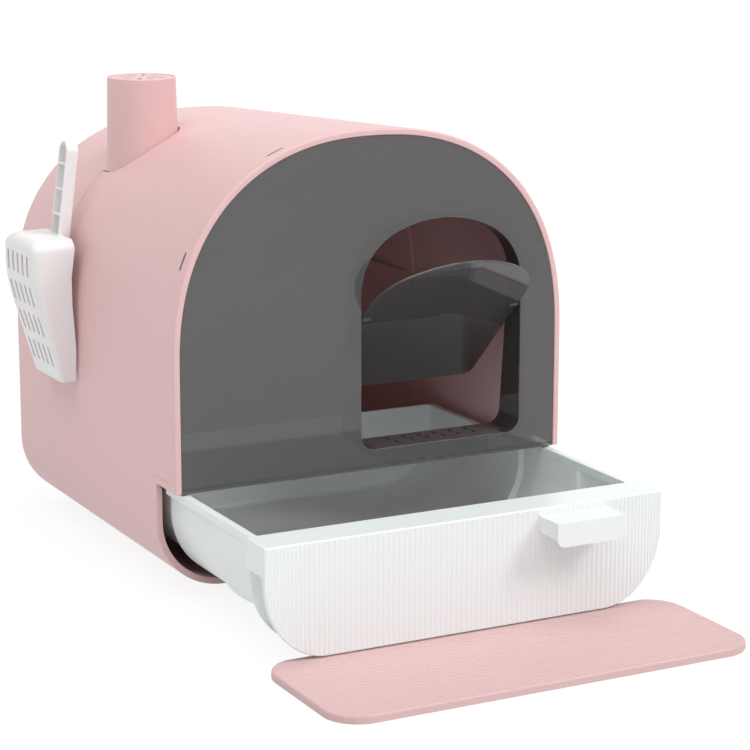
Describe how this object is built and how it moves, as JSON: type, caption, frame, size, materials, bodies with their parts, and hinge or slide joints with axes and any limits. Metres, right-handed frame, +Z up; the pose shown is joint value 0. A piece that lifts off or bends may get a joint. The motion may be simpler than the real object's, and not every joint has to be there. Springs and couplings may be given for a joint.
{
  "type": "drawer litter box",
  "caption": "Hooded litter box with an arched housing, tinted front panel and swinging flap, pull-out litter drawer, vented chimney with filter, hung scoop and ribbed mat",
  "frame": {"origin": "on the floor under the middle of the housing, midway between the hood mouth and the back wall", "axes": "+Z up, -Y out of the front where the drawer pulls out, +X to the right as seen from the front"},
  "size_m": [0.5153, 0.845, 0.518],
  "materials": {
    "pink_shell": "moulded polypropylene, fine satin",
    "white_plastic": "moulded polypropylene, soft gloss",
    "smoke_tint": "tinted transparent moulding, polished",
    "step_grey": "dark moulded plastic",
    "scoop_grey": "moulded polypropylene, satin",
    "carbon_foam": "activated carbon foam",
    "steel_pin": "plain bright steel"
  },
  "bodies": {
    "housing": {"body_shell": "pink_shell", "front_panel": "smoke_tint", "entry_tunnel": "smoke_tint", "step_plate": "step_grey", "cover_hinge_pins": "steel_pin", "scoop_hook": "pink_shell", "hook_screws": "steel_pin"},
    "drawer": {"drawer_tub": "white_plastic", "drawer_front": "white_plastic", "drawer_handle": "white_plastic", "handle_screws": "steel_pin"},
    "flap_door": {"flap": "smoke_tint", "flap_pins": "steel_pin"},
    "cover": {"rear_cover": "pink_shell"},
    "filter_unit": {"chimney_cap": "pink_shell", "filter_cup": "white_plastic", "carbon_filter": "carbon_foam"},
    "hung_scoop": {"scoop": "scoop_grey"},
    "floor_mat": {"mat": "pink_shell"}
  },
  "joints": [
    {"name": "drawer_slide", "type": "slide", "parent": "housing", "child": "drawer", "axis": [0, 1, 0], "range_m": [0, 0.205]},
    {"name": "flap_swing", "type": "hinge", "parent": "housing", "child": "flap_door", "pos_m": [0.0812, -0.2295, 0.289], "axis": [1, 0, 0], "range_deg": [-96, 20]},
    {"name": "cover_hinge", "type": "hinge", "parent": "housing", "child": "cover", "pos_m": [0, 0.2399, 0.2571], "axis": [-1, 0, 0], "range_deg": [0, 95]},
    {"name": "filter_lift", "type": "slide", "parent": "cover", "child": "filter_unit", "axis": [0, 0, 1], "range_m": [0, 0.07]},
    {"name": "scoop_lift", "type": "slide", "parent": "housing", "child": "hung_scoop", "axis": [0, 0, 1], "range_m": [0, 0.1]},
    {"name": "mat_slide", "type": "slide", "parent": "housing", "child": "floor_mat", "axis": [0, -1, 0], "range_m": [0, 0.25]}
  ]
}
